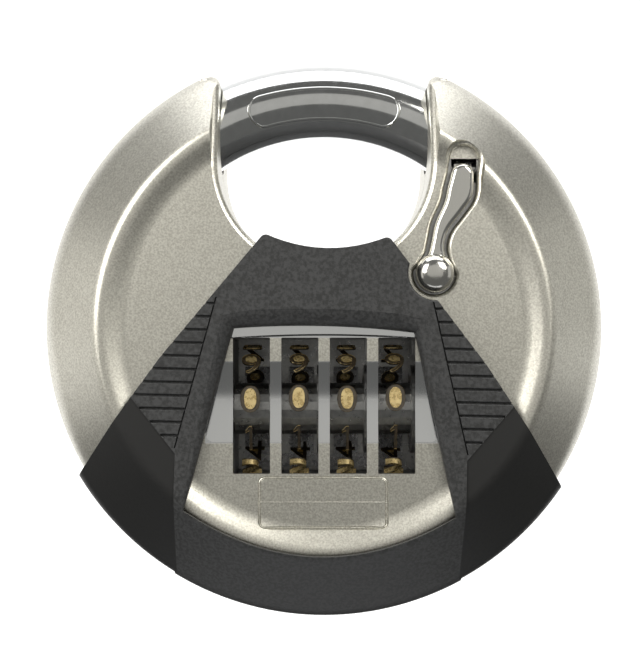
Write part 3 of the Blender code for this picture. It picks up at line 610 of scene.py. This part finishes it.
def shacklePiece():
    radius = shackleBar["radius"]
    bar = asObject("bar", ringBar(shackleBar["ring"], radius, shackleBar["start"], shackleBar["end"], 96, 72))
    carve(bar, [block([(19.95, -1), (25.25, -1), (25.25, 3), (19.95, 3)], -1.5, 3.5)])
    plate = shackleBar["plate"]
    reach = math.radians(plate["reach"]) * shackleBar["ring"]
    side = plate["half"]
    corners = [(-reach, -side, side), (reach, -side, side), (reach, side, side), (-reach, side, side)]
    path = []
    flat = filleted(corners, steps=14)
    for a, b in zip(flat, flat[1:] + flat[:1]):
        steps = max(1, int((b - a).length))
        path += [a.lerp(b, k / steps) for k in range(steps)]
    placed = []
    for p in path:
        across = p.y + plate["middle"]
        angle, ring = p.x / shackleBar["ring"], shackleBar["ring"] + across
        height = math.sqrt(radius**2 - across**2) + 0.02
        placed.append((ring * math.sin(angle), ring * math.cos(angle), height))
    line = tube(placed, plate["line"], sides=3)
    shape = bmesh.new()
    shape.from_mesh(bar.data)
    bpy.data.objects.remove(bar)
    return joined([shape, line])


def leverPiece():
    def lip(point):
        return 0.6

    stem = flaredBlock(leverOutline(), lambda p: lever["high"], lip, lever["low"], outwards=-1)
    knobX, knobY = lever["knob"]
    knob = spun([(0, 12.45), (0.8, 12.42), (1.35, 12.3), (1.8, 12.02), (2.12, 11.6), (2.3, 11.1), (2.35, 10.6), (2.3, 10.1), (2.1, 9.6), (0, 9.6)], 96)
    bmesh.ops.translate(knob, vec=(knobX, knobY, 0), verts=knob.verts)
    neck = block([(15.8, 18.4), (17.0, 18.4), (17.0, 19.9), (15.8, 19.9)], 8.0, 9.6)
    toe = block([(15.8, 18.8), (17.0, 18.8), (17.0, 19.8), (15.8, 19.8)], 5.8, 8.0)
    hub = rod(1.1, (15.8, 19.3, 8.0), (17.0, 19.3, 8.0))
    under = asObject("under", joined([neck, toe]))
    carve(under, [hub], "UNION")
    carve(under, [rod(0.9, (15, 19.3, 8.0), (18, 19.3, 8.0))])
    shape = bmesh.new()
    shape.from_mesh(under.data)
    bpy.data.objects.remove(under)
    return joined([stem, knob, shape])


def wheelAxes(angle):  # the text's own axes on the face at that angle above level
    turn = math.radians(angle)
    out = Vector((0, math.sin(turn), math.cos(turn)))
    return Matrix((Vector((1, 0, 0)), Vector((0, math.cos(turn), -math.sin(turn))), out)).transposed().to_4x4()


def digitMesh(text, low, high):
    curve = bpy.data.curves.new("digit", "FONT")
    curve.body = text
    curve.size = dials["textSize"]
    curve.align_x = "CENTER"
    curve.resolution_u = 6
    curve.offset = -0.03
    curve.extrude = (high - low) / 2
    drawn = bpy.data.objects.new("digit", curve)
    bpy.context.scene.collection.objects.link(drawn)
    shape = bmesh.new()
    shape.from_mesh(evaluated(drawn))
    bpy.data.objects.remove(drawn)
    xs, ys = [v.co.x for v in shape.verts], [v.co.y for v in shape.verts]
    shift = Vector((-(min(xs) + max(xs)) / 2, -(min(ys) + max(ys)) / 2, (low + high) / 2))
    bmesh.ops.translate(shape, vec=shift, verts=shape.verts)
    bmesh.ops.scale(shape, vec=(*dials["textStretch"], 1), verts=shape.verts)
    bmesh.ops.remove_doubles(shape, verts=shape.verts, dist=1e-4)
    return shape


def dialWheel():
    reach, half = dials["radius"], dials["width"] / 2
    step = ((-15.2, 0), (15.2, 0), (16.0, 0.45), (17.2, 0.45), (17.5, 0.2), (18.5, 0.2), (18.8, 0.45), (20.0, 0.45))
    outline = []
    for i in range(10):
        for angle, depth in step:
            turn = math.radians(dials["read"] + 36 * i + angle)
            outline.append(((reach - depth) * math.cos(turn), (reach - depth) * math.sin(turn)))
    made = asObject("wheel", block(outline, -half, half))
    edge = [(0, -half), (reach - 0.45, -half), (reach - 0.1, -half + 0.12), (reach + 0.1, -half + 0.4)]
    carve(made, [spun(edge + [(r, -z) for r, z in reversed(edge)], 96)], "INTERSECT")
    carve(made, [rod(3.5, (0, 0, -3), (0, 0, 3), 64)])
    # drawn in the plane of its face, then stood with its axis across the lock
    made.data.transform(Matrix(((0, 0, 1, 0), (0, 1, 0, 0), (-1, 0, 0, 0), (0, 0, 0, 1))))
    made.data.transform(Matrix.Rotation(math.radians(180), 4, "Y"))
    return made


def dialDigits(low, high):
    shapes = []
    for digit in range(10):
        angle = dials["read"] - 36 * digit
        if digit == 1:
            one = [(0.22, 1.6), (-0.12, 1.6), (-0.62, 1.0), (-0.62, 0.72), (-0.12, 1.02), (-0.12, -1.6), (0.22, -1.6)]
            shape = block(one, low, high)
        else:
            shape = digitMesh(str(digit), low, high)
        reach = dials["radius"] * math.cos(math.radians(15.4))
        bmesh.ops.transform(shape, matrix=wheelAxes(angle) @ Matrix.Translation((0, 0, reach)), verts=shape.verts)
        shapes.append(shape)
    return joined(shapes)


# ---------- finishes

class Wire:  # a number or colour on its way through a material
    def __init__(self, tree, socket):
        self.tree, self.socket = tree, socket

    def node(self, kind, settings=(), inputs=(), output=0):
        made = self.tree.nodes.new(kind)
        for name, value in dict(settings).items():
            setattr(made, name, value)
        for name, value in dict(inputs).items():
            feed(self.tree, made.inputs[name], value)
        return Wire(self.tree, made.outputs[output])

    def maths(self, operation, *values):
        return self.node("ShaderNodeMath", {"operation": operation}, dict(enumerate(values)))

    def __add__(self, other):
        return self.maths("ADD", self, other)

    def __sub__(self, other):
        return self.maths("SUBTRACT", self, other)

    def __rsub__(self, other):
        return self.maths("SUBTRACT", other, self)

    def __mul__(self, other):
        return self.maths("MULTIPLY", self, other)

    __radd__ = __add__
    __rmul__ = __mul__

    def ramp(self, low, high):  # 0 below low, 1 above high
        return self.node(
            "ShaderNodeMapRange", {"interpolation_type": "SMOOTHSTEP"}, {0: self, 1: low, 2: high, 3: 0.0, 4: 1.0},
        )

    def mix(self, first, second):  # two colours by this share
        return self.node("ShaderNodeMix", {"data_type": "RGBA"}, {0: self, 6: first, 7: second}, 2)


def feed(tree, socket, value):
    if isinstance(value, Wire):
        tree.links.new(value.socket, socket)
    else:
        socket.default_value = value


def grey(red, green=None, blue=None):
    return (red, red if green is None else green, red if blue is None else blue, 1)


def finish(name, metallic, roughness, colour, build=None):
    material = bpy.data.materials.new(name)
    material.use_nodes = True
    tree = material.node_tree
    shader = tree.nodes["Principled BSDF"]
    shader.inputs["Metallic"].default_value = metallic
    shader.inputs["Roughness"].default_value = roughness
    shader.inputs["Base Color"].default_value = grey(*colour)
    place = Wire(tree, tree.nodes.new("ShaderNodeTexCoord").outputs["Object"])
    if build:
        build(tree, shader, place)
    return material


def noise(place, scale, detail=2, roughness=0.6):
    return place.node("ShaderNodeTexNoise", {}, {"Vector": place, "Scale": scale, "Detail": detail, "Roughness": roughness})


def bump(shader, tree, height, strength, distance):
    node = Wire(tree, None).node(
        "ShaderNodeBump", {}, {"Height": height, "Strength": strength, "Distance": distance},
    )
    feed(tree, shader.inputs["Normal"], node)


def speckled(strength, scale, spread, darker, lighter, low, high, depth):
    # a metal whose grain varies its colour and its roughness
    def build(tree, shader, place):
        grain = noise(place, scale)
        share = grain.ramp(0.5 - spread, 0.5 + spread)
        feed(tree, shader.inputs["Base Color"], share.mix(grey(*darker), grey(*lighter)))
        feed(tree, shader.inputs["Roughness"], share * (high - low) + low)
        if depth:
            bump(shader, tree, grain, strength, depth)
    return build


def blasted(tree, shader, place):
    grain = noise(place, 4200, 3)
    fleck = noise(place, 9000, 1)
    share = grain.ramp(0.3, 0.7)
    parts = place.node("ShaderNodeSeparateXYZ", {}, {0: place})
    z = Wire(tree, parts.socket.node.outputs["Z"])
    x = Wire(tree, parts.socket.node.outputs["X"])
    y = Wire(tree, parts.socket.node.outputs["Y"])
    inTrough = z.ramp(-0.01405, -0.01395) * (1 - z.ramp(-0.00412, -0.00402)) * x.ramp(-0.01445, -0.01435)
    inTrough = inTrough * (1 - x.ramp(0.0139, 0.0141)) * (1 - y.ramp(-0.0219, -0.0217))
    step = z.ramp(-0.00126, -0.00122) * (1 - z.ramp(0.0021, 0.0023)) * x.ramp(-0.0125, -0.0123) * (1 - x.ramp(0.0123, 0.0125))
    polished = (inTrough + step).maths("MINIMUM", 1.0, inTrough + step)
    colour = share.mix(grey(0.57, 0.55, 0.49), grey(0.82, 0.805, 0.73))
    colour = polished.mix(colour, grey(0.83, 0.84, 0.85))
    feed(tree, shader.inputs["Base Color"], colour)
    feed(tree, shader.inputs["Roughness"], (1 - polished) * (fleck * 0.16 + 0.3) + polished * 0.14)
    bump(shader, tree, (grain + fleck * 0.5) * (1 - polished), 0.35, 0.00002)


def textured(tree, shader, place):
    grain = noise(place, 2600, 3)
    parts = place.node("ShaderNodeSeparateXYZ", {}, {0: place}).socket.node.outputs
    x, z = Wire(tree, parts["X"]), Wire(tree, parts["Z"])
    lean = math.radians(bumper["turn"])
    side = (x * math.cos(lean) - z * math.sin(lean)).maths("ABSOLUTE", x * math.cos(lean) - z * math.sin(lean))
    up = x * math.sin(lean) + z * math.cos(lean)
    # the smooth corners beyond the ribs: their grain bump is weaker because they are smoother, and their colour is
    # painted darker as painted shade, for corners that turn down and away from the light
    smoothCornersPaintedShade = (side - 0.01748).ramp(0, 0.0001) * (side * 1.21 - up - 0.0367).ramp(0, 0.0001)
    mottled = grain.ramp(0.35, 0.65).mix(grey(0.026, 0.0265, 0.027), grey(0.055, 0.056, 0.058))
    # painted shade: a darker grey on the smooth corners than on the mottled plastic
    feed(tree, shader.inputs["Base Color"], smoothCornersPaintedShade.mix(mottled, grey(0.012, 0.012, 0.012)))
    feed(tree, shader.inputs["Roughness"], grain * 0.25 + 0.38)
    bump(shader, tree, grain * (1 - smoothCornersPaintedShade * 0.7), 0.5, 0.00004)


def antique(tree, shader, place):
    grain = noise(place, 1500, 3)
    parts = place.node("ShaderNodeSeparateXYZ", {}, {0: place}).socket.node.outputs
    up = Wire(tree, parts["Z"]) - dialUp
    back = Wire(tree, parts["Y"]) - dialBack
    radius = (up * up + back * back).maths("SQRT", up * up + back * back)
    worn = grain.ramp(0.35, 0.65).mix(grey(0.5, 0.37, 0.16), grey(0.76, 0.6, 0.3))
    face = radius.ramp(0.00782, 0.00788)
    feed(tree, shader.inputs["Base Color"], face.mix(grey(0.03, 0.02, 0.01), worn))
    feed(tree, shader.inputs["Roughness"], grain * 0.22 + 0.17)
    bump(shader, tree, grain, 0.25, 0.00002)


def brushed(tree, shader, place):
    stretched = place.node("ShaderNodeMapping", {}, {0: place, "Scale": (14000, 3000, 500)})
    lines = noise(stretched, 1.0, 2)
    feed(tree, shader.inputs["Roughness"], lines * 0.16 + 0.1)
    bump(shader, tree, lines, 0.2, 0.000008)


dialLow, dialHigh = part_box("dial_wheel_1")
dialUp, dialBack = (dialLow.z + dialHigh.z) / 2, midPlane - dials["height"] * mm
finishes = {
    "casing_steel": finish("blasted steel", 1, 0.38, (0.62, 0.61, 0.57), blasted),
    "bumper_plastic": finish("bumper plastic", 0, 0.45, (0.03, 0.03, 0.033), textured),
    "shackle_chrome": finish("shackle chrome", 1, 0.06, (0.8, 0.81, 0.82), speckled(0.1, 900, 0.3, (0.76, 0.77, 0.77), (0.82, 0.83, 0.83), 0.09, 0.14, 0)),
    "dial_brass": finish("antique brass", 0.62, 0.3, (0.66, 0.5, 0.24), antique),
    "lever_nickel": finish("polished nickel", 1, 0.15, (0.78, 0.77, 0.73), brushed),
    "body_zinc": finish("cast zinc", 1, 0.5, (0.4, 0.4, 0.4), speckled(0.3, 1500, 0.3, (0.3, 0.3, 0.3), (0.5, 0.5, 0.5), 0.4, 0.6, 0.00001)),
    "plain_steel": finish("plain steel", 1, 0.3, (0.5, 0.5, 0.5), speckled(0.2, 1500, 0.3, (0.4, 0.4, 0.4), (0.55, 0.55, 0.54), 0.25, 0.4, 0.00001)),
    "spring_steel": finish("spring steel", 1, 0.3, (0.35, 0.35, 0.36), speckled(0.2, 1500, 0.3, (0.3, 0.3, 0.31), (0.42, 0.42, 0.43), 0.2, 0.35, 0)),
    "guide_nylon": finish("guide nylon", 0, 0.5, (0.1, 0.1, 0.1), speckled(0.2, 1500, 0.3, (0.07, 0.07, 0.07), (0.1, 0.1, 0.1), 0.45, 0.6, 0)),
}
inkFinish = finish("digit fill", 0, 0.5, (0.03, 0.022, 0.012), speckled(0.2, 3000, 0.3, (0.02, 0.014, 0.008), (0.06, 0.045, 0.025), 0.4, 0.6, 0))
slotOf = {part["node"]: part["material_slot"] for part in frame["record"]["subparts"]}


# ---------- the pieces

def turnedOver(made):  # the same pressing on the rear of the lock
    made.data.transform(Matrix.Diagonal((1, 1, -1, 1)))
    made.data.flip_normals()
    return made


print("casing")
frontShell = casingShell(True)
beads = asObject("beads", joined(frameBeads()))
with_beads = bmesh.new()
with_beads.from_mesh(frontShell.data)
with_beads.from_mesh(beads.data)
bpy.data.objects.remove(beads)
bpy.data.objects.remove(frontShell)
fitPiece("front_pressing", with_beads, finishes["casing_steel"], "casing", ["front_shell"])
fitPiece("rear_pressing", turnedOver(casingShell(False)), finishes["casing_steel"], "casing", ["rear_shell"])

print("bumpers")
fitPiece("front_moulding", bumperMoulding(True), finishes["bumper_plastic"], "casing", ["front_bumper"])
fitPiece("rear_moulding", turnedOver(bumperMoulding(False)), finishes["bumper_plastic"], "casing", ["rear_bumper"])

print("shackle and lever")
fitPiece("shackle_bar", shacklePiece(), finishes["shackle_chrome"], "shackle", ["shackle"])
fitPiece("thumb_lever", leverPiece(), finishes["lever_nickel"], "lever", ["release_lever"])

print("dials")
wheel = dialWheel()
engraving = asObject("engraving", dialDigits(-0.16, 0.5))
carve(wheel, [engraving])
fill = asObject("fill", dialDigits(-0.3, -0.12))
for index, x in enumerate(dials["middles"]):
    turn = Matrix.Translation((x, dials["up"], dials["height"])) @ Matrix.Rotation(math.radians(dials["turned"][index]), 4, "X")
    for name, base, material, slot in (
        ("wheel", wheel, finishes["dial_brass"], "dial_brass"), ("digits", fill, inkFinish, None),
    ):
        made = asObject(name, bmesh.new())
        made.data = base.data.copy()
        made.data.transform(turn)
        stands = [f"dial_wheel_{index + 1}"] if name == "wheel" else []
        fitPiece(f"{name}_{index + 1}", made, material, f"dial_{index + 1}", stands, 25)
bpy.data.objects.remove(wheel)
bpy.data.objects.remove(fill)

print("springs")
springs = {  # node: the joint that presses it, the way along it, its thickness, turns and travel
    "bar_spring_left": ("bar_slide", "z", 0.25, 4, 0.9),
    "bar_spring_right": ("bar_slide", "z", 0.25, 4, 0.9),
    "bolt_spring": ("bolt_slide", "x", 0.12, 3, 1.21),
}
for name, (joint, way, thickness, turns, travel) in springs.items():
    low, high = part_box(name)
    middle = standUp.inverted() @ ((low + high) / 2)
    along = high.z - low.z if way == "z" else high.x - low.x
    length, across = along / mm - 2 * thickness, (high.y - low.y) / mm / 2 - thickness
    path = []
    for i in range(turns * 32 + 1):
        angle, share = 2 * math.pi * i / 32, i / (turns * 32) - 0.5
        ring = (across * math.cos(angle), across * math.sin(angle))
        offset = (ring[0], length * share, ring[1]) if way == "z" else (length * share, ring[0], ring[1])
        path.append(middle + Vector(offset))
    coil = fitPiece(name.replace("spring", "coil"), tube(path, thickness, closed=False), finishes["spring_steel"], "casing", [name])
    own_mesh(coil)

for name, node in frame["nodes"].items():
    for holder in node.material_slots:
        holder.material = finishes[slotOf[name]]


# ---------- light, floor and camera

scene = bpy.context.scene
print("light")


def light(name, place, target, size, power, colour=(1, 1, 1)):
    lamp = bpy.data.lights.new(name, "AREA")
    lamp.shape = "RECTANGLE"
    lamp.size, lamp.size_y = size
    lamp.energy = power
    lamp.color = colour
    made = bpy.data.objects.new(name, lamp)
    scene.collection.objects.link(made)
    made.location = place
    made.rotation_euler = (Vector(target) - Vector(place)).to_track_quat("-Z", "Y").to_euler()
    return made


centre = (0, -0.012, 0)
light("key from the upper left", (-0.3, -0.32, 0.16), centre, (0.25, 0.25), 1.35, (1, 0.98, 0.93))
light("front", (0.0, -0.6, 0.1), centre, (0.5, 0.34), 0.17, (1, 0.98, 0.92))
light("upper right", (0.22, -0.36, 0.22), centre, (0.18, 0.18), 0.95, (1, 0.98, 0.92))
light("top", (0, -0.03, 0.42), centre, (0.5, 0.3), 1.1)
light("left side", (-0.45, -0.03, 0), centre, (0.5, 0.35), 0.3, (1, 0.98, 0.93))
light("right side", (0.45, -0.03, 0.05), centre, (0.5, 0.35), 0.2, (1, 0.99, 0.94))
light("below", (0, -0.04, -0.45), centre, (0.5, 0.3), 0.4, (0.97, 0.98, 1))

world = bpy.data.worlds.new("studio")
world.use_nodes = True
world.node_tree.nodes["Background"].inputs["Color"].default_value = (0.12, 0.12, 0.115, 1)
world.node_tree.nodes["Background"].inputs["Strength"].default_value = 1
scene.world = world

sweepLine = [(0.068, -0.075), (0.25, -0.075), (0.33, -0.05), (0.36, 0), (0.4, 1.5)]
sweepMesh = bmesh.new()
rows = [[sweepMesh.verts.new((x, y, z)) for y, z in sweepLine] for x in (-0.8, 0.8)]
for a, b, c, d in zip(rows[0], rows[0][1:], rows[1][1:], rows[1]):
    sweepMesh.faces.new((a, d, c, b))
sweep = asObject("floor_sweep", sweepMesh)
sweep.data.shade_smooth()


def paper(tree, shader, place):
    shader.inputs["Emission Color"].default_value = (1, 1, 1, 1)
    shader.inputs["Emission Strength"].default_value = 0.9


sweep.data.materials.append(finish("pale paper", 0, 0.9, (0.45, 0.45, 0.45), paper))

camera = bpy.data.cameras.new("camera")
camera.lens = 80.2
camera.sensor_width = 36
camera.clip_start = 0.01
viewer = bpy.data.objects.new("camera", camera)
viewer.location = (-0.0005, -0.2024, -0.00064)
viewer.rotation_euler = (math.radians(90), 0, 0)
scene.collection.objects.link(viewer)
scene.camera = viewer
scene.view_settings.view_transform = "Standard"
